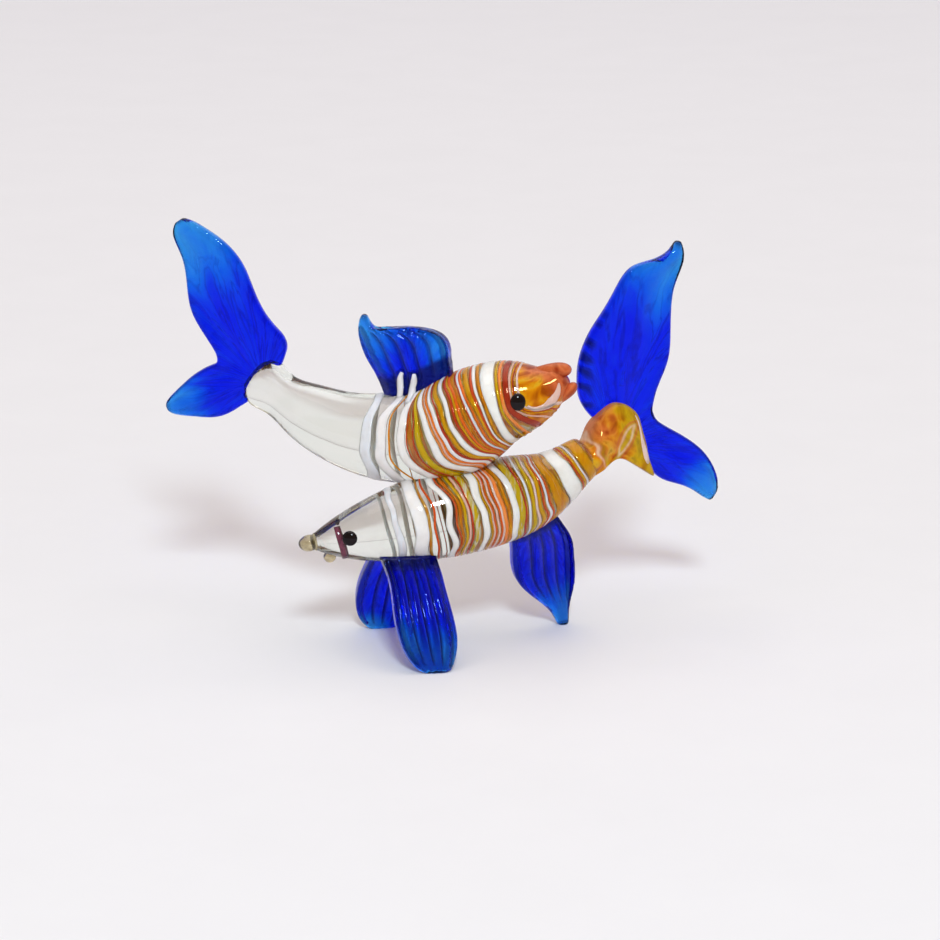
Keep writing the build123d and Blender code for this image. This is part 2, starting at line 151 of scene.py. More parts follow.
# The camera of the photograph
CAMERA_TARGET = (5.71, -5.02, 40.35)
CAMERA_ELEVATION = 16.0
CAMERA_DISTANCE = 800.0
CAMERA_LENS = 140.9
CAMERA_SENSOR = 36.0
CAMERA_NEAR = 0.01

# Sizes of the meshes
BODY_ROWS, SNOUT_ROWS, BODY_AROUND = 150, 40, 120
DOME_ANGLES = (78, 60, 40, 20)
THREAD_AROUND = 180
SLEEVE_ROWS, SLEEVE_AROUND = 150, 150
STRIP_STEPS, LAID_STEPS = 24, 20
FIN_VOXEL, FIN_PASSES = 0.24, 5
STOCK_VOXEL, STOCK_PASSES = 0.22, 6
DROP_VOXEL, DROP_PASSES = 0.12, 4


def smooth(knots, values):
    """A cubic curve through the values at the knots, as a function."""
    x = np.asarray(knots, float)
    y = np.asarray(values, float)
    count = len(x)
    h = np.diff(x)
    matrix = np.zeros((count, count))
    right = np.zeros_like(y)
    for i in range(1, count - 1):
        matrix[i, i - 1:i + 2] = h[i - 1], 2 * (h[i - 1] + h[i]), h[i]
        right[i] = 6 * ((y[i + 1] - y[i]) / h[i] - (y[i] - y[i - 1]) / h[i - 1])
    matrix[0, :3] = h[1], -(h[0] + h[1]), h[0]
    matrix[-1, -3:] = h[-1], -(h[-2] + h[-1]), h[-2]
    bend = np.linalg.solve(matrix, right)

    def at(t):
        t = np.clip(np.asarray(t, float), x[0], x[-1])
        i = np.clip(np.searchsorted(x, t, side="right") - 1, 0, count - 2)
        a = (x[i + 1] - t)[..., None]
        b = (t - x[i])[..., None]
        s = h[i][..., None]
        curve = (bend[i] * a**3 + bend[i + 1] * b**3) / (6 * s)
        return curve + (y[i] / s - bend[i] * s / 6) * a + (y[i + 1] / s - bend[i + 1] * s / 6) * b

    return at


def unit(v):
    return v / np.linalg.norm(v, axis=-1, keepdims=True)


class Fish:
    """A spine with elliptical sections.

    Places are shares of its length, and turns run from the top to the far side.
    """

    def __init__(self, start, shape, run, sway, rise, girth, height, width):
        points = np.array(start) + np.array(shape) * [run, sway, rise]
        chord = np.concatenate([[0], np.cumsum(np.linalg.norm(np.diff(points, axis=0), axis=1))])
        self.fine = smooth(chord, points)(np.linspace(0, chord[-1], 2001))
        along = np.concatenate([[0], np.cumsum(np.linalg.norm(np.diff(self.fine, axis=0), axis=1))])
        self.share = along / along[-1]
        table = np.array(girth)
        self.radii = smooth(table[:, 0], table[:, 1:] * [height / 2, width / 2])

    def spine(self, place):
        return np.stack([np.interp(place, self.share, self.fine[:, k]) for k in range(3)], -1)

    def axes(self, place):
        ahead = unit(self.spine(np.minimum(place + 0.004, 1)) - self.spine(np.maximum(place - 0.004, 0)))
        side = unit(np.cross(UP, ahead))
        return ahead, side, np.cross(ahead, side)

    def skin(self, place, turn, lift=0.0):
        place, turn, lift = np.broadcast_arrays(place, turn, lift)
        ahead, side, above = self.axes(place)
        high, wide = np.moveaxis(self.radii(place), -1, 0)
        sine, cosine = np.sin(turn), np.cos(turn)
        out = unit(side * (sine / wide)[..., None] + above * (cosine / high)[..., None])
        point = self.spine(place) + side * (wide * sine)[..., None] + above * (high * cosine)[..., None]
        return point + out * lift[..., None]

    def locate(self, points):
        """The place along the spine nearest to each point, and its turn from the top, on either side."""
        near = np.array([np.argmin(((self.fine - p) ** 2).sum(1)) for p in points])
        place = self.share[near]
        _, side, above = self.axes(place)
        off = points - self.fine[near]
        return place, np.arctan2(np.abs((off * side).sum(1)), (off * above).sum(1))


lower = Fish(
    LOWER_NOSE, LOWER_SPINE, LOWER_RUN, LOWER_SWAY, LOWER_RISE, LOWER_GIRTH, LOWER_HEIGHT, LOWER_WIDTH)
upper = Fish(
    UPPER_TAIL, UPPER_SPINE, UPPER_RUN, UPPER_SWAY, UPPER_SAG, UPPER_GIRTH, UPPER_HEIGHT, UPPER_WIDTH)


def ramp(value, low, high):
    """A soft step from 0 to 1."""
    t = np.clip((value - low) / (high - low), 0, 1)
    return t * t * (3 - 2 * t)


def coordinates(mesh):
    flat = np.empty(len(mesh.vertices) * 3, np.float32)
    mesh.vertices.foreach_get("co", flat)
    return flat.reshape(-1, 3) / MM


def normals(mesh):
    flat = np.empty(len(mesh.vertices) * 3, np.float32)
    mesh.vertex_normals.foreach_get("vector", flat)
    return flat.reshape(-1, 3)


def store(mesh, points):
    mesh.vertices.foreach_set("co", np.asarray(points * MM, np.float32).ravel())
    mesh.update()


def set_attribute(mesh, key, values):
    attribute = mesh.attributes.new(key, "FLOAT", "POINT")
    attribute.data.foreach_set("value", np.broadcast_to(values, len(mesh.vertices)).astype(np.float32))


def tree_of(obj):
    mesh = obj.data
    mesh.calc_loop_triangles()
    return BVHTree.FromPolygons([v.co for v in mesh.vertices], [tuple(t.vertices) for t in mesh.loop_triangles])


def placed(name, mesh, material):
    mesh.shade_smooth()
    mesh.materials.append(material)
    obj = bpy.data.objects.new(name, mesh)
    bpy.context.scene.collection.objects.link(obj)
    return obj


def add_object(name, points, faces, material, attributes=None):
    mesh = bpy.data.meshes.new(name)
    mesh.from_pydata([tuple(p) for p in np.asarray(points) * MM], [], faces)
    work = bmesh.new()
    work.from_mesh(mesh)
    bmesh.ops.recalc_face_normals(work, faces=work.faces)
    work.to_mesh(mesh)
    work.free()
    for key, values in (attributes or {}).items():
        set_attribute(mesh, key, values)
    return placed(name, mesh, material)


def soft_copy(name, node, voxel, passes, material):
    """A fire-polished copy of a solid: its edges are rounded as melted glass rounds them."""
    work = bpy.data.objects.new(name + "_work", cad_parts[node].data.copy())
    bpy.context.scene.collection.objects.link(work)
    work.data.materials.clear()
    weld = work.modifiers.new("weld", "WELD")
    weld.merge_threshold = 0.01 * MM
    remesh = work.modifiers.new("remesh", "REMESH")
    remesh.mode = "VOXEL"
    remesh.voxel_size = voxel * MM
    relax = work.modifiers.new("relax", "SMOOTH")
    relax.factor = 0.5
    relax.iterations = passes
    graph = bpy.context.evaluated_depsgraph_get()
    mesh = bpy.data.meshes.new_from_object(work.evaluated_get(graph))
    bpy.data.objects.remove(work)
    mesh.name = name
    mesh.materials.clear()
    return placed(name, mesh, material)


def rounded(name, middle, axes, material, taper=0.0):
    """A closed drop of glass: its middle, three half axes, and how much thinner its back is."""
    work = bmesh.new()
    bmesh.ops.create_uvsphere(work, u_segments=48, v_segments=32, radius=1.0)
    mesh = bpy.data.meshes.new(name)
    work.to_mesh(mesh)
    work.free()
    ball = coordinates(mesh) * MM
    ball[:, 1:] *= (1 - taper * (1 - ball[:, :1]) / 2)
    store(mesh, np.array(middle) + ball @ np.array(axes))
    return placed(name, mesh, material)


def finish_piece(obj, slot, *nodes):
    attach(obj, "root")
    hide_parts(*nodes)
    return obj


def corner(node, x, y, z):
    """A point of a node's box in millimetres, by shares of its sides."""
    low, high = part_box(node)
    return [(a + (b - a) * s) / MM for a, b, s in zip(low, high, (x, y, z))]


def loop_faces(rings, around, closed=False):
    """Quads between rings of vertices that follow one another."""
    faces = []
    for r in range(rings if closed else rings - 1):
        a, b = r * around, ((r + 1) % rings) * around
        for k in range(around):
            n = (k + 1) % around
            faces.append((a + k, a + n, b + n, b + k))
    return faces


def closed_body(fish, start, end, rows, domes):
    """Points and faces of a solid stretch of a fish, with rounded ends."""
    turns = np.linspace(0, FULL_TURN, BODY_AROUND, endpoint=False)

    def dome(place, depth, sign):
        middle = fish.spine(np.array(place))
        ahead = fish.axes(np.array(place))[0]
        edge = fish.skin(np.full(BODY_AROUND, place), turns)
        made = []
        for angle in np.radians(DOME_ANGLES):
            made.append(middle + (edge - middle) * math.cos(angle) + sign * ahead * depth * math.sin(angle))
        return made, middle + sign * ahead * depth

    first, first_tip = dome(start, domes[0], -1)
    last, last_tip = dome(end, domes[1], 1)
    rings = first + [fish.skin(np.full(BODY_AROUND, place), turns) for place in np.linspace(start, end, rows)]
    rings += last[::-1]
    points = np.concatenate(rings + [first_tip[None], last_tip[None]])
    faces = loop_faces(len(rings), BODY_AROUND)
    tip = len(rings) * BODY_AROUND
    base = tip - BODY_AROUND
    for k in range(BODY_AROUND):
        n = (k + 1) % BODY_AROUND
        faces.append((tip, k, n))
        faces.append((tip + 1, base + n, base + k))
    return points, faces


def wander(turn, seed, terms):
    """A smooth closed wave, the same for the same seed."""
    rng = np.random.default_rng(seed)
    wave = np.zeros_like(turn)
    for k in range(1, terms + 1):
        wave += rng.normal() / k * np.sin(k * turn + rng.uniform(0, FULL_TURN))
    return wave


WELD_DRAG, FIN_DRAG, JAW_DRAG, BROW_DRAG, BACK_DRAG = 0.045, 0.042, 0.075, 0.012, 0.018


def from_top(turn):
    return np.abs((turn + math.pi) % FULL_TURN - math.pi)


def drag_upper(place, turn):
    """The weld and the dorsal fin draw the upper fish's threads along, and the head's sweep to the chin."""
    down = from_top(turn)
    low = WELD_DRAG * ramp(down, 1.75, 2.75) * ramp(place, 0.34, 0.50) * (1 - ramp(place, 0.60, 0.76))
    top = FIN_DRAG * (1 - ramp(down, 0.12, 1.0)) * ramp(place, 0.39, 0.45) * (1 - ramp(place, 0.53, 0.60))
    head = JAW_DRAG * ramp(down, 1.6, 2.6) + BROW_DRAG * (1 - ramp(down, 0.3, 1.2))
    return low + top + head * ramp(place, 0.81, 0.895)


def drag_lower(place, turn):
    """The weld draws the threads on the lower fish's back."""
    down = from_top(turn)
    return -BACK_DRAG * (1 - ramp(down, 0.3, 1.1)) * ramp(place, 0.36, 0.45) * (1 - ramp(place, 0.64, 0.74))


def ring_noise(along, radius, turn, shift=0.0):
    """Noise at a place along a fish, which closes on itself round the fish."""
    return np.array([noise.noise((along, radius * math.cos(t) + shift, radius * math.sin(t))) for t in turn])


class Winding:
    """The threads of one fish and the coloured glass under them. Seeds set how they vary."""

    TREMBLE, TREMBLE_STEP = 0.0016, 7
    BEND, BEND_ALONG, BEND_ROUND, CALMING = 0.022, 9, 1.5, 0.75
    SWELL, SWELL_LIMIT, SWELL_STEP = 0.16, 1.6, 300
    FAR_THINNING = 0.5
    SLEEVE_OUTSIDE, SLEEVE_INSIDE = -0.06, -0.4
    GRAIN_ALONG, GRAIN_ROUND, GRAIN_TONE = 110, 0.9, 1.1
    # How far the sleeve's start is dimmed with painted shade, and over what share of its length
    START_DIMMING, START_LENGTH = 0.4, 0.12
    FIRST, LAST = 0.01, 1.0

    def __init__(self, fish, plan, drag, calm, span, seed, grain):
        self.fish, self.plan, self.drag = fish, plan, drag
        self.calm, self.span = calm, span
        self.seed, self.grain = seed, grain

    def threads(self, colour):
        """All the rings of one colour, each wandering a little as a hand-wound thread does."""
        turn = np.linspace(0, FULL_TURN, THREAD_AROUND, endpoint=False)
        points, faces, tones = [], [], []
        for number, (start, end, hue, tone) in enumerate(self.plan):
            if hue != colour:
                continue
            middle, half = (start + end) / 2, (end - start) / 2
            sway = self.TREMBLE * wander(turn, self.seed + self.TREMBLE_STEP * number, 4)
            bends = ring_noise(middle * self.BEND_ALONG + self.seed, self.BEND_ROUND, turn)
            sway += self.BEND * bends * (1 - self.CALMING * ramp(middle, *self.calm))
            wave = wander(turn, self.seed + self.SWELL_STEP + number, 6)
            swell = 1 + self.SWELL * np.clip(wave, -self.SWELL_LIMIT, self.SWELL_LIMIT)
            if middle < self.span[0]:
                # Rings in the clear glass are thinner on the far side
                swell *= 1 - self.FAR_THINNING * ramp(np.sin(turn), 0.1, 0.7)
            centre = middle + sway + self.drag(middle, turn)
            base = sum(len(p) for p in points)
            section = []
            for across, lift in zip(THREAD_ACROSS, THREAD_LIFT):
                place = np.clip(centre + across * half * swell, self.FIRST, self.LAST)
                section.append(self.fish.skin(place, turn, np.full(THREAD_AROUND, lift)))
            ring = np.stack(section, 1).reshape(-1, 3)
            points.append(ring)
            ring_faces = loop_faces(THREAD_AROUND, len(THREAD_ACROSS), True)
            faces += [tuple(i + base for i in f) for f in ring_faces]
            tones.append(np.full(len(ring), tone))
        return np.concatenate(points), faces, np.concatenate(tones)

    def sleeve(self):
        """Coloured glass that lies under the threads and shows between them; its start is dimmed with painted
        shade.
        """
        turn = np.linspace(0, FULL_TURN, SLEEVE_AROUND, endpoint=False)
        places = np.linspace(*self.span, SLEEVE_ROWS)
        first = self.span[0]
        rings, tones = [], []
        for lift, order in ((self.SLEEVE_OUTSIDE, places), (self.SLEEVE_INSIDE, places[::-1])):
            for place in order:
                where = np.clip(place + self.drag(place, turn), self.FIRST, self.LAST)
                rings.append(self.fish.skin(where, turn, np.full(SLEEVE_AROUND, lift)))
                wave = ring_noise(place * self.GRAIN_ALONG, self.GRAIN_ROUND, turn, self.grain)
                # Painted shade: the first stretch is dimmed toward olive, standing in for the far threads'
                # shade seen through the clear glass
                painted_shade = self.START_DIMMING * (1 - ramp(place, first, first + self.START_LENGTH))
                tones.append(0.5 + self.GRAIN_TONE * wave - painted_shade)
        return np.concatenate(rings), loop_faces(len(rings), SLEEVE_AROUND, True), np.concatenate(tones)


def ribbon(centre, out, widths, tone, lift=0.0, swell=1.0):
    """A short thread laid along a line on a surface, with its width given from end to end."""
    count = len(centre)
    width = np.interp(np.linspace(0, 1, count), np.linspace(0, 1, len(widths)), widths)
    along = unit(np.gradient(centre, axis=0))
    out = unit(out - along * np.sum(out * along, axis=1, keepdims=True))
    side = np.cross(along, out)
    rings = []
    for across, rise in zip(THREAD_ACROSS, THREAD_LIFT):
        rings.append(centre + side * (across * width / 2)[:, None] + out * (rise * swell + lift))
    points = np.stack(rings, 1).reshape(-1, 3)
    around = len(THREAD_ACROSS)
    faces = loop_faces(count, around)
    faces.append(tuple(range(around)))
    faces.append(tuple(reversed(range((count - 1) * around, count * around))))
    return points, faces, np.full(len(points), tone)


CAST_FROM = 80.0


def strip(fish, path, widths, tone):
    """A thread along a path of (place, turn) on a fish's skin."""
    path = np.array(path)
    steps = np.linspace(0, len(path) - 1, STRIP_STEPS * (len(path) - 1))
    places = smooth(np.arange(len(path)), path)(steps)
    centre = fish.skin(places[:, 0], places[:, 1])
    return ribbon(centre, centre - fish.spine(places[:, 0]), widths, tone)


def cast(trees, x, z, sign):
    """Where a line along Y, from the near side (-1) or the far side (1), first meets the glass."""
    found = None
    for tree in trees:
        spot, out, _, gap = tree.ray_cast(Vector((x, sign * CAST_FROM, z)) * MM, Vector((0, -sign, 0)))
        if spot is not None and (found is None or gap < found[2]):
            found = (np.array(spot) / MM, np.array(out), gap)
    return found


def laid(trees, path, sign, widths, tone, lift=0.0, swell=1.0, bridging=False):
    """A thread along a path of (x, z), laid on the first glass met from one side, or bridging its points."""
    path = np.array(path, float)
    steps = np.linspace(0, len(path) - 1, LAID_STEPS * (len(path) - 1))
    line = path if bridging else smooth(np.arange(len(path)), path)(steps)
    hits = [hit for hit in (cast(trees, x, z, sign) for x, z in line) if hit is not None]
    centre = np.array([hit[0] for hit in hits])
    out = np.array([hit[1] for hit in hits])
    if bridging:
        steps = np.linspace(0, len(hits) - 1, LAID_STEPS * (len(hits) - 1))
        centre = smooth(np.arange(len(hits)), centre)(steps)
        out = smooth(np.arange(len(hits)), out)(steps)
    return ribbon(centre, out, widths, tone, lift, swell)


def joined(*parts):
    points, faces, tones = [], [], []
    base = 0
    for p, f, t in parts:
        points.append(p)
        faces += [tuple(i + base for i in face) for face in f]
        tones.append(t)
        base += len(p)
    return np.concatenate(points), faces, np.concatenate(tones)


def linear(red, green, blue):
    """A colour written as it looks on screen, from 0 to 255."""
    made = []
    for value in (red, green, blue):
        value /= 255
        made.append(value / 12.92 if value <= 0.04045 else ((value + 0.055) / 1.055) ** 2.4)
    return (*made, 1.0)


class Nodes:
    """Shader nodes of one tree, added by short calls. Values may be numbers, colours or sockets."""

    def __init__(self, tree):
        self.tree = tree

    def new(self, kind, **inputs):
        node = self.tree.nodes.new(kind)
        for key, value in inputs.items():
            node.inputs[key.replace("_", " ")].default_value = value
        return node

    def link(self, a, b):
        self.tree.links.new(a, b)

    def feed(self, value, socket):
        if isinstance(value, (int, float, tuple)):
            socket.default_value = value
        else:
            self.link(value, socket)

    def attribute(self, name):
        node = self.new("ShaderNodeAttribute")
        node.attribute_name = name
        return node.outputs["Fac"]

    def noise(self, scale, detail=3.0, rough=0.5, twist=0.0, vector=None):
        node = self.new("ShaderNodeTexNoise", Scale=scale, Detail=detail, Roughness=rough, Distortion=twist)
        if vector is None:
            vector = self.new("ShaderNodeTexCoord").outputs["Object"]
        self.link(vector, node.inputs["Vector"])
        return node.outputs["Fac"]

    def stretched(self, scale):
        """Object coordinates stretched by three factors."""
        place = self.new("ShaderNodeMapping", Scale=scale)
        self.link(self.new("ShaderNodeTexCoord").outputs["Object"], place.inputs["Vector"])
        return place.outputs["Vector"]

    def ramp(self, factor, stops):
        node = self.new("ShaderNodeValToRGB")
        bar = node.color_ramp
        bar.elements[0].position, bar.elements[0].color = stops[0]
        bar.elements[1].position, bar.elements[1].color = stops[-1]
        for place, colour in stops[1:-1]:
            bar.elements.new(place).color = colour
        self.link(factor, node.inputs["Fac"])
        return node.outputs["Color"]

    def map_range(self, value, **ends):
        node = self.new("ShaderNodeMapRange", **ends)
        self.link(value, node.inputs["Value"])
        return node.outputs["Result"]

    def math(self, kind, a, b):
        node = self.new("ShaderNodeMath")
        node.operation = kind
        self.feed(a, node.inputs[0])
        self.feed(b, node.inputs[1])
        return node.outputs[0]

    def mix(self, factor, a, b, kind="MIX"):
        node = self.new("ShaderNodeMix")
        node.data_type = "RGBA"
        node.blend_type = kind
        self.feed(factor, node.inputs["Factor"])
        self.feed(a, node.inputs[6])
        self.feed(b, node.inputs[7])
        return node.outputs[2]


class Surface(Nodes):
    """A material under construction, with one Principled shader."""

    def __init__(self, name):
        self.material = bpy.data.materials.new(name)
        self.material.use_nodes = True
        super().__init__(self.material.node_tree)
        self.tree.nodes.clear()
        self.output = self.new("ShaderNodeOutputMaterial")
        self.shader = self.new("ShaderNodeBsdfPrincipled")
        self.link(self.shader.outputs[0], self.output.inputs["Surface"])

    def set(self, **values):
        for key, value in values.items():
            self.shader.inputs[key.replace("_", " ")].default_value = value
        return self

    def colour(self, value):
        self.link(value, self.shader.inputs["Base Color"])

    def rough(self, factor, low, high):
        self.link(self.map_range(factor, To_Min=low, To_Max=high), self.shader.inputs["Roughness"])

    def bump(self, height, strength, distance):
        node = self.new("ShaderNodeBump", Strength=strength, Distance=distance)
        self.link(height, node.inputs["Height"])
        self.link(node.outputs["Normal"], self.shader.inputs["Normal"])

    def absorb(self, colour, density):
        node = self.new("ShaderNodeVolumeAbsorption", Color=colour, Density=density)
        self.link(node.outputs[0], self.output.inputs["Volume"])


GLASS_IOR, BLUE_IOR = 1.5, 1.45
WHITE = (1.0, 1.0, 1.0, 1.0)
NAVY = (0.003, 0.005, 0.10, 1.0)
CLEAR_TINT, CLEAR_DENSITY, SMOKY_DENSITY = (0.74, 0.80, 0.66, 1.0), 14.0, 40.0
BLUE_TINT, BLUE_DENSITY = (0.15, 0.50, 0.97, 1.0), 900.0
# The tint of reflections keeps pale light from veiling coloured glass
BLUE_GLOSS, SNOUT_GLOSS = (0.22, 0.34, 1.0, 1.0), (1.0, 0.6, 0.2, 1.0)
AMBER_GLOSS, RED_GLOSS = (1.0, 0.7, 0.3, 1.0), (1.0, 0.6, 0.35, 1.0)


def clear_glass(name, dim, bright, density, scale):
    """Clear glass with faint cords in it."""
    glass = Surface(name).set(Transmission_Weight=1.0, IOR=GLASS_IOR)
    cords = glass.noise(1.0, detail=2.0, twist=0.6, vector=glass.stretched(scale))
    glass.colour(glass.ramp(cords, [(0.3, dim), (0.7, bright)]))
    glass.rough(glass.noise(900.0, detail=2.0), 0.0, 0.015)
    glass.bump(cords, strength=0.05, distance=0.0006)
    glass.absorb(CLEAR_TINT, density)
    return glass.material


def thread_glass(name, stops, streak, transmission, roughness, gloss, milk):
    """Threads take their tone ring by ring, with fine streaks along the winding."""
    glass = Surface(name).set(Transmission_Weight=transmission, IOR=GLASS_IOR, Specular_Tint=gloss)
    glass.set(Subsurface_Weight=milk, Subsurface_Radius=(1.0, 0.9, 0.8), Subsurface_Scale=0.0012)
    streaks = glass.noise(1.0, detail=4.0, rough=0.6, twist=0.8, vector=glass.stretched((1500, 240, 240)))
    spread = glass.math("MULTIPLY", glass.math("SUBTRACT", streaks, 0.5), streak)
    colour = glass.ramp(glass.math("ADD", glass.attribute("tone"), spread), stops)
    clouds = glass.noise(420.0, rough=0.55)
    shade = glass.ramp(clouds, [(0.25, (0.84, 0.80, 0.76, 1.0)), (0.65, WHITE)])
    glass.colour(glass.mix(0.6, colour, shade, "MULTIPLY"))
    glass.rough(clouds, roughness, roughness + 0.06)
    glass.bump(streaks, strength=0.08, distance=0.0001)
    return glass.material


def amber_glass():
    """Amber with darker swirls. Values on the mesh turn it brick red, mustard or, in its veins, pale."""
    glass = Surface("amber_glass").set(Transmission_Weight=0.22, IOR=GLASS_IOR, Specular_Tint=SNOUT_GLOSS)
    swirl = glass.noise(120.0, detail=2.5, twist=2.6)
    fine = glass.noise(1.0, detail=4.0, rough=0.6, twist=1.4, vector=glass.stretched((420, 160, 160)))
    amber = glass.ramp(swirl, [
        (0.30, linear(162, 72, 4)), (0.42, linear(210, 116, 2)), (0.52, linear(228, 150, 8)),
        (0.60, linear(226, 172, 34)), (0.68, linear(190, 138, 6)), (0.80, linear(212, 126, 4)),
    ])
    red = glass.ramp(swirl, [
        (0.35, linear(166, 58, 28)), (0.55, linear(216, 108, 62)), (0.70, linear(186, 78, 42)),
    ])
    mustard = glass.ramp(swirl, [
        (0.35, linear(176, 128, 10)), (0.55, linear(208, 168, 16)), (0.70, linear(168, 134, 24)),
    ])
    shade = glass.ramp(fine, [(0.3, (0.80, 0.72, 0.60, 1.0)), (0.6, WHITE)])
    pale = glass.ramp(fine, [(0.35, linear(224, 160, 124)), (0.6, linear(240, 212, 186))])
    body = glass.mix(glass.attribute("olive"), amber, mustard)
    body = glass.mix(glass.attribute("brick"), body, red)
    body = glass.mix(0.5, body, shade, "MULTIPLY")
    glass.colour(glass.mix(glass.attribute("veins"), body, pale))
    glass.rough(fine, 0.02, 0.07)
    glass.bump(swirl, strength=0.1, distance=0.0003)
    return glass.material


def blue_glass():
    """Cobalt glass: streaks flow from the root, grooves and rims are dark with painted shade, drawn tips pale.
    """
    glass = Surface("blue_glass").set(Transmission_Weight=1.0, IOR=BLUE_IOR, Specular_Tint=BLUE_GLOSS)
    tip = glass.attribute("tip")
    place = glass.new("ShaderNodeCombineXYZ")
    glass.link(glass.attribute("flow_turn"), place.inputs[0])
    glass.link(glass.attribute("flow_out"), place.inputs[1])
    streaks = glass.noise(1.0, rough=0.55, twist=0.5, vector=place.outputs[0])
    clouds = glass.noise(240.0, rough=0.55, twist=1.2)
    hue = glass.math("ADD", tip, glass.math("MULTIPLY", glass.math("SUBTRACT", streaks, 0.5), 0.9))
    colour = glass.ramp(hue, [
        (0.0, (0.006, 0.035, 1.0, 1.0)), (0.22, (0.01, 0.12, 1.0, 1.0)), (0.5, (0.02, 0.42, 1.0, 1.0)),
        (1.0, (0.16, 0.86, 1.0, 1.0)),
    ])
    # Dark lines follow two levels of the streaks and leave the tips clear
    lined = glass.math("MULTIPLY", glass.math("SUBTRACT", 1.0, tip), 0.75)
    for level, width in ((0.44, 0.04), (0.58, 0.018)):
        line = glass.math("ABSOLUTE", glass.math("SUBTRACT", streaks, level), 0.0)
        lines = glass.ramp(line, [(0.0, (0.06, 0.12, 0.50, 1.0)), (width, WHITE)])
        colour = glass.mix(lined, colour, lines, "MULTIPLY")
    mottle = glass.ramp(clouds, [(0.34, (0.55, 0.62, 0.94, 1.0)), (0.52, WHITE)])
    colour = glass.mix(0.45, colour, mottle, "MULTIPLY")
    # Painted shade: grooves and rims turn navy; the rim values also hold the edge's dark scallops, the root
    # values the dark base
    for dark in ("groove_and_shade", "rim_shade_and_marks", "root"):
        colour = glass.mix(glass.attribute(dark), colour, NAVY)
    glass.colour(colour)
    glass.rough(clouds, 0.0, 0.05)
    glass.bump(glass.math("ADD", streaks, clouds), strength=0.5, distance=0.0003)
    glass.absorb(BLUE_TINT, BLUE_DENSITY)
    return glass.material


def dark_glass(name, low, high, transmission):
    glass = Surface(name).set(Transmission_Weight=transmission, IOR=GLASS_IOR, Specular_IOR_Level=0.2)
    clouds = glass.noise(700.0, rough=0.55, twist=0.8)
    glass.colour(glass.ramp(clouds, [(0.3, low), (0.7, high)]))
    glass.rough(clouds, 0.03, 0.09)
    glass.bump(clouds, strength=0.04, distance=0.0001)
    return glass.material


CLEAR = clear_glass(
    "clear_glass", linear(246, 249, 245), linear(253, 253, 250), CLEAR_DENSITY, (60, 260, 260))
SMOKY = clear_glass(
    "smoky_clear_glass", linear(112, 90, 50), linear(222, 208, 170), SMOKY_DENSITY, (420, 520, 520))
AMBER = amber_glass()
BLUE = blue_glass()
BLACK = dark_glass("black_glass", linear(6, 3, 5), linear(24, 9, 14), transmission=0.0)
PLUM = dark_glass("plum_glass", linear(96, 40, 62), linear(138, 70, 90), transmission=0.35)
THREAD_GLASS = {
    "white": thread_glass("white_thread_glass", [
        (0.0, linear(242, 237, 228)), (0.35, linear(236, 230, 228)), (0.6, linear(218, 222, 228)),
        (0.8, linear(236, 200, 188)), (1.0, linear(220, 160, 138)),
    ], streak=0.16, transmission=0.05, roughness=0.03, gloss=WHITE, milk=0.8),
    "amber": thread_glass("amber_thread_glass", [
        (0.0, linear(214, 194, 134)), (0.16, linear(184, 132, 44)), (0.3, linear(216, 108, 6)),
        (0.5, linear(250, 152, 4)), (0.75, linear(242, 176, 6)), (0.92, linear(226, 182, 18)),
        (1.0, linear(250, 226, 190)),
    ], streak=0.6, transmission=0.22, roughness=0.02, gloss=AMBER_GLOSS, milk=0.7),
    "red": thread_glass("red_thread_glass", [
        (0.0, linear(146, 34, 22)), (0.35, linear(186, 56, 20)), (0.6, linear(220, 88, 18)),
        (0.85, linear(246, 120, 26)), (1.0, linear(250, 160, 96)),
    ], streak=0.4, transmission=0.10, roughness=0.02, gloss=RED_GLOSS, milk=0.6),
}


def heights(points, trees):
    """Each point's height over the nearest of some surfaces, and that surface's outward direction."""
    height = np.full(len(points), 1e3)
    outward = np.zeros((len(points), 3))
    for index, point in enumerate(points):
        spot = Vector(point * MM)
        for tree in trees:
            near, out, _, gap = tree.find_nearest(spot)
            above = (spot - near).dot(out) / MM
            signed = math.copysign(gap / MM, above)
            if signed < height[index]:
                height[index], outward[index] = signed, out
    return height, outward


def around_each(mesh):
    """A function that averages a value over each vertex's neighbours."""
    pairs = np.empty(len(mesh.edges) * 2, np.int32)
    mesh.edges.foreach_get("vertices", pairs)
    a, b = pairs.reshape(-1, 2).T
    count = len(mesh.vertices)
    degree = np.bincount(a, minlength=count) + np.bincount(b, minlength=count)

    def average(value):
        total = np.bincount(a, value[b], count) + np.bincount(b, value[a], count)
        return total / np.maximum(degree, 1)

    return average


def hollow(mesh, passes):
    """How far each vertex lies under its neighbours: positive in grooves, negative on ridges and rims."""
    points, out = coordinates(mesh), normals(mesh)
    average = around_each(mesh)
    middle = np.stack([average(points[:, k]) for k in range(3)], 1)
    depth = ((middle - points) * out).sum(1)
    for _ in range(passes):
        depth = average(depth)
    return depth


# Bodies and the snout, brick red over its brow and toward the mouth

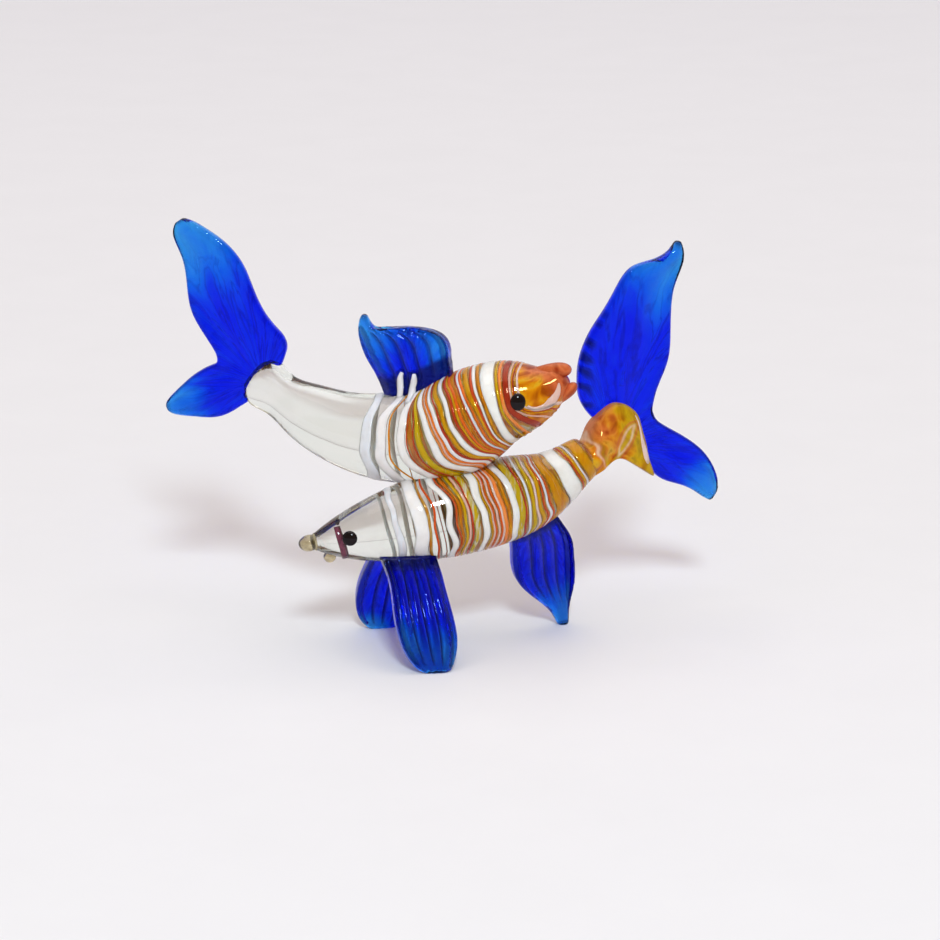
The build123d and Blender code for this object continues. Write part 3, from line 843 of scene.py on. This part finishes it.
points, faces = closed_body(lower, 0.0, 1.0, BODY_ROWS, LOWER_DOMES)
lower_glass = add_object("lower_body_glass", points, faces, CLEAR)
finish_piece(lower_glass, "clear_glass", "lower_body")
points, faces = closed_body(upper, 0.0, UPPER_END, BODY_ROWS, UPPER_DOMES)
upper_glass = add_object("upper_body_glass", points, faces, CLEAR)
finish_piece(upper_glass, "clear_glass", "upper_body")
points, faces = closed_body(upper, SNOUT_START, 1.0, SNOUT_ROWS, SNOUT_DOMES)
place, turn = upper.locate(points)
brow = (1 - ramp(turn, 0.45, 1.15)) * ramp(place, 0.90, 0.94)
brick = np.maximum(brow, ramp(place, 0.955, 0.985))
snout = add_object("upper_snout_glass", points, faces, AMBER, {"brick": brick})
finish_piece(snout, "amber_glass", "upper_snout")
lower_tree, upper_tree = tree_of(lower_glass), tree_of(upper_glass)

# The tail stock takes its form from the solid

NECK_SECTORS, NECK_RING, NECK_LENGTH, NECK_PROUD, NECK_LAP = 36, 1.0, 2.2, 0.08, 0.5
FOLD_STEPS = 120


def from_body_end(points):
    """How far each point lies beyond the lower body's end, and its offset from the spine there."""
    heading = lower.axes(np.array(1.0))[0]
    radial = points - lower.spine(np.array(1.0))
    beyond = radial @ heading
    return beyond, radial - beyond[:, None] * heading


def opened_neck(points):
    """The stock's points, its neck opened to the width of the body's end and lapped over it a little."""
    heading, side, above = lower.axes(np.array(1.0))
    beyond, radial = from_body_end(points)
    around = np.arctan2(radial @ above, radial @ side)
    reach = np.linalg.norm(radial, axis=1)
    sector = np.round((around + math.pi) / FULL_TURN * NECK_SECTORS).astype(int) % NECK_SECTORS
    ring = beyond < NECK_RING
    outer = np.zeros(NECK_SECTORS)
    np.maximum.at(outer, sector[ring], reach[ring])
    outer = (np.roll(outer, 1) + 2 * outer + np.roll(outer, -1)) / 4
    half = NECK_SECTORS // 2
    angles = np.arange(-half, half + 1) * math.pi / half
    found = np.interp(around, angles, np.append(outer, outer[0]))
    high, wide = lower.radii(np.array(1.0))
    wanted = 1 / np.sqrt((np.cos(around) / wide) ** 2 + (np.sin(around) / high) ** 2) + NECK_PROUD
    overlap = ramp(NECK_LENGTH - beyond, 0, NECK_LENGTH)
    grown = overlap * (wanted / np.maximum(found, 1.0) - 1)
    return points - (overlap * NECK_LAP)[:, None] * heading + radial * grown[:, None]


def bell(value, width):
    return np.exp(-((value / width) ** 2))


def stock_values(points):
    """Where the stock is veined, brick red and olive: round its fold, at its neck and over its back."""
    beyond, radial = from_body_end(points)
    across, _, up = [(points[:, k] - points[:, k].min()) / np.ptp(points[:, k]) for k in range(3)]
    jitter = np.array([noise.noise(p * 0.45) for p in points])
    steps = np.linspace(0, len(STOCK_FOLD) - 1, FOLD_STEPS)
    fold = smooth(np.arange(len(STOCK_FOLD)), STOCK_FOLD)(steps)
    half = FOLD_STEPS // 2
    middle = (fold[:half] + fold[:half - 1:-1]) / 2
    spot = points[:, ::2] + 0.5 * jitter[:, None]
    gap, inner = [np.sqrt(((spot[:, None] - line[None]) ** 2).sum(2).min(1)) for line in (fold, middle)]
    wound = np.abs(beyond - 2.6 - 1.1 * jitter - 0.10 * radial[:, 2])
    back = 0.8 * ramp(up, 0.35, 0.7) * (1 - ramp(across + 0.12 * jitter, 0.34, 0.60))
    rear = ramp(across + 0.35 * up + 0.1 * jitter, 0.74, 0.98)
    olive = np.maximum(rear, 1 - ramp(inner, 0.5, 1.0))
    return {
        "veins": np.maximum(0.75 * bell(gap, 0.26), 0.8 * bell(wound, 0.38)),
        "brick": np.maximum(back, 0.7 * bell(gap - 0.75, 0.3) * (inner > gap)),
        "olive": np.maximum(olive, 0.9 * bell(beyond - 3.5 - jitter, 0.45)),
    }


stock = soft_copy("lower_tail_stock_glass", "lower_tail_stock", STOCK_VOXEL, STOCK_PASSES, AMBER)
points = coordinates(stock.data)
store(stock.data, opened_neck(points))
for key, values in stock_values(points).items():
    set_attribute(stock.data, key, values)
finish_piece(stock, "amber_glass", "lower_tail_stock")
stock_tree = tree_of(stock)

# Fins take their form from the solids

FLOW_SWAY, FLOW_WAVES, FLOW_OUT = 0.25, 3.0, 0.05
RIPPLE_TURN, RIPPLE_OUT, RIPPLE_SEED = 1.1, 0.09, 3.1
GROOVE_PASSES, GROOVE_DEPTH, RIM_DEPTH = 7, (0.0012, 0.0046), (0.006, 0.016)
ROOT_PULL, ROOT_GAP = 0.5, 0.35
CUT_SHADE, FAINT_SHADE, RIM_SHADE, ROOT_SHADE = 0.85, 0.3, 0.8, 0.9
MARK_PITCH, MARK_LEAN, MARK_UNEVEN = 3.4, 0.6, 1.6
LEVELS_PER_MM = 2


def edge_marks(points, widest):
    """Dark scallops along a fin's edge toward -X, widest in the middle of its height, with none at its top."""
    level = np.round(points[:, 2] * LEVELS_PER_MM).astype(int)
    level -= level.min()
    edge = np.full(level.max() + 1, np.inf)
    np.minimum.at(edge, level, points[:, 0])
    inward = points[:, 0] - edge[level]
    uneven = np.array([noise.noise((z * 0.35, 2.2, 7.4)) for z in points[:, 2]])
    beat = np.sin((points[:, 2] + MARK_LEAN * inward + MARK_UNEVEN * uneven) * FULL_TURN / MARK_PITCH)
    tall = (points[:, 2] - points[:, 2].min()) / np.ptp(points[:, 2])
    wide = widest * (0.35 + 0.65 * ramp(tall, 0.3, 0.5) * (1 - ramp(tall, 0.55, 0.85)))
    mark = ramp(beat, -0.1, 0.5) * ramp(inward, 0.0, 0.5) * (1 - ramp(inward / wide, 0.5, 1.0))
    return mark * (1 - ramp(tall, 0.7, 0.9))


def fin(name, node, root, tips, trees, streak, ripple, dark=0.0, cut=0.0, crown=math.inf, marks=0.0):
    """A blue fin: streaks flow from its root, and its tips, as (direction, reach), are pale.

    It ripples, its grooves are cut deeper, its root is dark up to a height and trimmed at a crown, and its edge
    can have marks. Its grooves and rims are darkened with painted shade.
    """
    obj = soft_copy(name, node, FIN_VOXEL, FIN_PASSES, BLUE)
    mesh = obj.data
    points, out = coordinates(mesh), normals(mesh)
    height, outward = heights(points, trees)
    away = points - np.array(root)
    distance = np.linalg.norm(away, axis=1)
    flat = np.argsort(np.ptp(points, axis=0))[::-1][:2]
    turn = np.arctan2(away[:, flat[1]], away[:, flat[0]])
    flow = turn * streak + FLOW_SWAY * np.sin(distance / distance.max() * FLOW_WAVES)
    wave = np.array([
        noise.noise((a, d * RIPPLE_OUT, RIPPLE_SEED)) for a, d in zip(flow * RIPPLE_TURN, distance)])
    bend = hollow(mesh, GROOVE_PASSES)
    # Groove and rim masks from the surface's hollows: the grooves are cut by them, and both carry painted shade
    # in the material
    groove_and_shade = ramp(bend, *GROOVE_DEPTH) * ramp(height, 0.8, 2.0)
    rim_shade_and_marks = ramp(-bend, *RIM_DEPTH) * ramp(height, 0.5, 1.5)
    lift = (wave * ripple * ramp(distance, 1.0, 6.0) - groove_and_shade * cut) * ramp(points[:, 2], 0.1, 1.2)
    pull = ROOT_PULL * ramp(ROOT_GAP - height, 0, ROOT_GAP)
    points[:, 2] = np.minimum(points[:, 2], crown)
    store(mesh, points + out * lift[:, None] - outward * pull[:, None])
    if marks:
        rim_shade_and_marks = np.maximum(rim_shade_and_marks, edge_marks(points, marks))
    pale = np.zeros(len(points))
    for toward, reach in tips:
        tip = points[np.argmax(points @ np.array(toward))]
        pale = np.maximum(pale, 1 - ramp(np.linalg.norm(points - tip, axis=1), 1.0, reach))
    set_attribute(mesh, "flow_turn", flow)
    set_attribute(mesh, "flow_out", distance * FLOW_OUT)
    set_attribute(mesh, "tip", pale)
    set_attribute(mesh, "groove_and_shade", groove_and_shade * (CUT_SHADE if cut else FAINT_SHADE))
    set_attribute(mesh, "rim_shade_and_marks", rim_shade_and_marks * RIM_SHADE)
    if dark:
        set_attribute(mesh, "root", (1 - ramp(height, dark * 0.75, dark + 0.2)) * ROOT_SHADE)
    return finish_piece(obj, "blue_glass", node)


RIB_CUT, PECTORAL_DARK, PECTORAL_CROWN = 0.14, 3.2, 22.6
dorsal = fin(
    "upper_dorsal_fin_glass", "upper_dorsal_fin", upper.skin(np.array(0.56), np.array(0.0)),
    [((-1, 0, 1), 17.0), ((1, 0, 0.6), 12.0)], [upper_tree], streak=7.0, ripple=0.05, dark=4.4, cut=RIB_CUT)
fin("upper_tail_fin_glass", "upper_tail_fin", upper.spine(np.array(0.03)),
    [((-0.5, 0, 1), 26.0), ((-1, 0, -0.3), 14.0)], [upper_tree], streak=6.0, ripple=0.10)
fin("lower_tail_fin_glass", "lower_tail_fin", lower.spine(np.array(1.0)) + np.array([6.0, 4.0, 2.0]),
    [((0.4, 0, 1), 26.0), ((1, 0, -0.6), 14.0)], [lower_tree, stock_tree], streak=6.0, ripple=0.10, marks=4.2)
fin("lower_near_pectoral_fin_glass", "lower_near_pectoral_fin",
    corner("lower_near_pectoral_fin", 0.4, 0.9, 1.0), [((1, 0, -0.6), 14.0), ((-1, 0, -0.5), 9.0)],
    [lower_tree], streak=8.0, ripple=0.05, dark=PECTORAL_DARK, cut=RIB_CUT, crown=PECTORAL_CROWN)
fin("lower_far_pectoral_fin_glass", "lower_far_pectoral_fin",
    corner("lower_far_pectoral_fin", 0.6, 0.1, 1.0), [((-0.3, 0, -1), 6.0)],
    [lower_tree], streak=8.0, ripple=0.05, dark=PECTORAL_DARK, cut=RIB_CUT, crown=PECTORAL_CROWN)
fin("lower_anal_fin_glass", "lower_anal_fin", corner("lower_anal_fin", 0.4, 0.2, 1.0),
    [((0.8, 0, -1), 15.0)], [lower_tree], streak=8.0, ripple=0.06, dark=2.0, cut=RIB_CUT)

# Lips: the lower fish's follow their solids, the upper fish's are drops drawn back along the snout

for node in ("lower_top_lip", "lower_bottom_lip"):
    finish_piece(soft_copy(node + "_drop", node, DROP_VOXEL, DROP_PASSES, SMOKY), "clear_glass", node)
heading, across, _ = upper.axes(np.array(1.0))
for node, place, turn, (ahead, rise), (wide, high) in UPPER_LIPS:
    front = np.array(corner(node, 0.5, 0.5, 0.5)) + heading * ahead + UP * rise
    back = upper.skin(np.array(place), np.array(turn), np.array(LIP_SUNK))
    along = (front - back) / 2
    axes = (along, across * wide, unit(np.cross(along, across)) * high)
    lip = rounded(node + "_drop", (front + back) / 2, axes, AMBER, LIP_TAPER)
    set_attribute(lip.data, "brick", 1.0)
    finish_piece(lip, "amber_glass", node)

# Threads: the rings, the strips that run to the upper mouth, the two ends that are drawn up over the dorsal
# fin's base, and the border of the tail stock

windings = {
    "upper": Winding(upper, UPPER_THREADS, drag_upper, UPPER_CALM, UPPER_SLEEVE, seed=11, grain=3.3),
    "lower": Winding(lower, LOWER_THREADS, drag_lower, LOWER_CALM, LOWER_SLEEVE, seed=57, grain=8.1),
}
trims = {"upper": [], "lower": []}
dorsal_tree = tree_of(dorsal)
for sign in (NEAR, FAR):
    chin = [(place, sign * turn) for place, turn in CHIN_PATH]
    trims["upper"].append(strip(upper, chin, CHIN_WIDTHS, CHIN_TONE))
    for line in DRAWN_ENDS:
        trims["upper"].append(laid(
            [dorsal_tree, upper_tree], line, sign, DRAWN_WIDTHS, DRAWN_TONE, DRAWN_LIFT, DRAWN_SWELL,
            bridging=True))
    trims["lower"].append(laid([stock_tree], STOCK_BORDER, sign, BORDER_WIDTHS, BORDER_TONE))
for fish, winding in windings.items():
    parts = {
        "white": [winding.threads("white"), *trims[fish]],
        "amber": [winding.sleeve(), winding.threads("amber")],
        "red": [winding.threads("red")],
    }
    for colour, pieces in parts.items():
        points, faces, tones = joined(*pieces)
        obj = add_object(f"{fish}_{colour}_threads", points, faces, THREAD_GLASS[colour], {"tone": tones})
        finish_piece(obj, f"{colour}_glass", f"{fish}_{colour}_bands")
points, faces, _ = strip(lower, PLUM_PATH, PLUM_WIDTHS, tone=0.0)
finish_piece(add_object("lower_snout_strip", points, faces, PLUM), "plum_glass", "lower_snout_band")


def eye_dot(name, node, fish_tree, tall):
    """A dot of black glass, flattened against the head."""
    spot, out, _, _ = fish_tree.find_nearest(Vector(corner(node, 0.5, 0.5, 0.5)) * MM)
    out = np.array(out)
    above = unit(UP - out * out[2])
    axes = (np.cross(above, out) * EYE_RADIUS, above * EYE_RADIUS * tall, out * EYE_PROUD)
    finish_piece(rounded(name, np.array(spot) / MM, axes, BLACK), "black_glass", node)


for side in ("near", "far"):
    eye_dot(f"upper_{side}_eye_dot", f"upper_{side}_eye", upper_tree, UPPER_EYE_TALL)
    eye_dot(f"lower_{side}_eye_dot", f"lower_{side}_eye", lower_tree, LOWER_EYE_TALL)

# Stage: paper that grows a little paler to the back, painted light that makes up for the lamps' falloff

FLOOR = 4000
paper = Surface("floor_paper").set(Roughness=0.6, Specular_IOR_Level=0.2)
depth = paper.new("ShaderNodeSeparateXYZ")
paper.link(paper.new("ShaderNodeTexCoord").outputs["Object"], depth.inputs[0])
# Painted light: the paper's colour rises toward the back, where the lamps light it less
sheet = paper.ramp(depth.outputs["Y"], [(0.1, linear(239, 237, 238)), (0.9, linear(246, 246, 250))])
grain = paper.noise(35.0, detail=4.0, rough=0.6)
grain = paper.ramp(grain, [(0.3, (0.985, 0.985, 0.985, 1.0)), (0.7, WHITE)])
paper.colour(paper.mix(1.0, sheet, grain, "MULTIPLY"))
corners = [(-FLOOR, -FLOOR, 0), (FLOOR, -FLOOR, 0), (FLOOR, FLOOR, 0), (-FLOOR, FLOOR, 0)]
floor = add_object("floor", corners, [(0, 1, 2, 3)], paper.material)

# The room is pale behind the object and darker before it, as glass shows it. The camera sees the pale side all
# round. The fill that shines on the object and the floor comes mostly from the front.

PALE, ROOM = linear(238, 236, 238), linear(188, 176, 146)
FILL_BEFORE, FILL_BEHIND = linear(196, 186, 182), linear(84, 78, 76)
ROOM_BEFORE, ROOM_BEHIND = -0.45, 0.25
world = bpy.data.worlds.new("studio")
bpy.context.scene.world = world
world.use_nodes = True
sky = Nodes(world.node_tree)
rays = sky.new("ShaderNodeLightPath").outputs
direction = sky.new("ShaderNodeSeparateXYZ")
sky.link(sky.new("ShaderNodeTexCoord").outputs["Generated"], direction.inputs[0])
behind = sky.map_range(direction.outputs["Y"], From_Min=ROOM_BEFORE, From_Max=ROOM_BEHIND)
room = sky.mix(behind, ROOM, PALE)
seen = sky.mix(rays["Is Camera Ray"], room, PALE)
in_glass = sky.math("MAXIMUM", rays["Is Glossy Ray"], rays["Is Transmission Ray"])
shown = sky.math("MAXIMUM", rays["Is Camera Ray"], in_glass)
fill = sky.mix(behind, FILL_BEFORE, FILL_BEHIND)
sky.link(sky.mix(shown, fill, seen), world.node_tree.nodes["Background"].inputs["Color"])


def area_light(name, place, aim, size, power, colour):
    lamp = bpy.data.lights.new(name, "AREA")
    lamp.shape = "RECTANGLE"
    lamp.size, lamp.size_y = size, size
    lamp.energy = power
    lamp.color = colour
    obj = bpy.data.objects.new(name, lamp)
    obj.location = place
    obj.rotation_euler = (Vector(aim) - Vector(place)).to_track_quat("-Z", "Y").to_euler()
    obj.visible_camera = False
    bpy.context.scene.collection.objects.link(obj)


area_light("key", (0.18, -1.9, 1.6), (0, 0, 0.04), size=0.4, power=38.0, colour=(0.78, 0.92, 1.0))
area_light("softbox", (0.0, 0.35, 2.2), (0, 0.35, 0), size=2.6, power=31.0, colour=(1.0, 0.93, 0.905))

camera_data = bpy.data.cameras.new("camera")
camera_data.lens = CAMERA_LENS
camera_data.sensor_width = CAMERA_SENSOR
camera_data.clip_start = CAMERA_NEAR
camera = bpy.data.objects.new("camera", camera_data)
tilt = math.radians(CAMERA_ELEVATION)
target = Vector(CAMERA_TARGET) * MM
camera.location = target + Vector((0, -math.cos(tilt), math.sin(tilt))) * CAMERA_DISTANCE * MM
camera.rotation_euler = (math.pi / 2 - tilt, 0, 0)
bpy.context.scene.collection.objects.link(camera)
bpy.context.scene.camera = camera
bpy.context.scene.view_settings.view_transform = "Standard"
